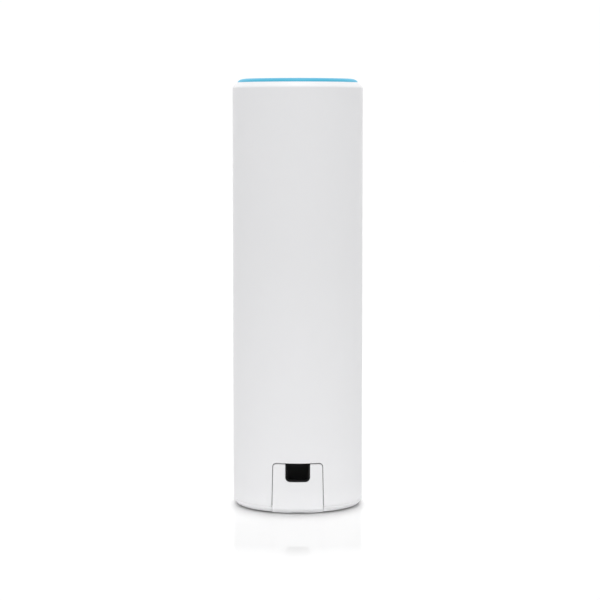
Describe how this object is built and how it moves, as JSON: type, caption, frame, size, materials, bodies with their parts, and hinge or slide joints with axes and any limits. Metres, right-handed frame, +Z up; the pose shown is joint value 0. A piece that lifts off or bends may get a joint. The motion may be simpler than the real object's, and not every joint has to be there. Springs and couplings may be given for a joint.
{
  "type": "mesh wifi node",
  "caption": "Free-standing white tube-shaped wireless mesh node with a blue light ring round its top and a pull-off cover over a cable bay at its foot.",
  "frame": {"origin": "centre of the bottom of the foot, on the surface that the node stands on", "axes": "+Z up along the axis of the tube; the cable bay and its cover face -Y; +X is to the right when the cover is seen from the front"},
  "size_m": [0.0486, 0.0486, 0.16],
  "materials": {
    "white_shell": "satin moulded polycarbonate, fine even texture",
    "light_ring": "translucent light guide lit pale blue from below",
    "white_plastic": "moulded white plastic",
    "black_plastic": "matte black moulded plastic",
    "frame_plastic": "dark grey glass-filled plastic",
    "black_rubber": "soft black rubber",
    "grey_rubber": "pale grey non-slip rubber",
    "red_rubber": "silicone seal",
    "lead_jacket": "thin black coaxial jacket",
    "green_board": "green solder mask over glass fibre",
    "white_board": "white solder mask",
    "lamp": "lamp package with yellow phosphor",
    "chip": "black moulded package",
    "capacitor": "aluminium can",
    "pad": "soft blue-grey gap filler",
    "polyimide": "amber film over copper",
    "aluminium": "die-cast, lightly bead-blasted",
    "tinned_steel": "tinned steel sheet",
    "gold": "gold-plated spring alloy",
    "zinc_screw": "zinc-plated screw"
  },
  "bodies": {
    "housing": {"outer_shell": "white_shell", "light_ring": "light_ring", "top_cap": "white_shell", "light_reflector": "white_plastic", "led_board": "white_board", "ring_leds": "lamp", "cap_screws": "zinc_screw", "led_flex_cable": "polyimide", "flex_sockets": "white_plastic", "inner_frame": "frame_plastic", "antenna_carrier": "white_plastic", "antenna_5ghz_1": "gold", "antenna_5ghz_2": "gold", "antenna_5ghz_3": "gold", "antenna_5ghz_4": "gold", "antenna_2ghz_1": "gold", "antenna_2ghz_2": "gold", "antenna_lead_1": "lead_jacket", "antenna_lead_2": "lead_jacket", "antenna_lead_3": "lead_jacket", "antenna_lead_4": "lead_jacket", "antenna_lead_5": "lead_jacket", "antenna_lead_6": "lead_jacket", "antenna_plugs": "gold", "antenna_sockets": "gold", "main_board": "green_board", "processor_chip": "chip", "radio_chips": "chip", "memory_chips": "chip", "flash_chip": "chip", "amplifier_chips": "chip", "thermal_pads": "pad", "heat_sink": "aluminium", "heat_sink_screws": "zinc_screw", "board_screws": "zinc_screw", "shield_can_lower": "tinned_steel", "shield_can_upper": "tinned_steel", "port_board": "green_board", "board_header": "black_plastic", "jack_shield": "tinned_steel", "jack_insert": "black_plastic", "jack_contacts": "gold", "network_transformer": "chip", "power_transformer": "chip", "filter_capacitors": "capacitor", "power_inductors": "chip", "frame_screws": "zinc_screw", "reset_switch": "black_plastic", "chassis": "black_plastic", "bulkhead_seal": "red_rubber", "base": "white_shell", "base_screws": "zinc_screw", "foot_ring": "grey_rubber"},
    "cover": {"port_cover": "white_shell", "cable_grommet": "black_rubber"},
    "reset": {"reset_button": "white_plastic", "reset_stem": "white_plastic"}
  },
  "joints": [
    {"name": "cover_pull", "type": "slide", "parent": "housing", "child": "cover", "axis": [0, -1, 0], "range_m": [0, 0.032]},
    {"name": "reset_press", "type": "slide", "parent": "housing", "child": "reset", "axis": [0, 0, 1], "range_m": [0, 0.0004], "stiffness_N_per_m": 500}
  ]
}
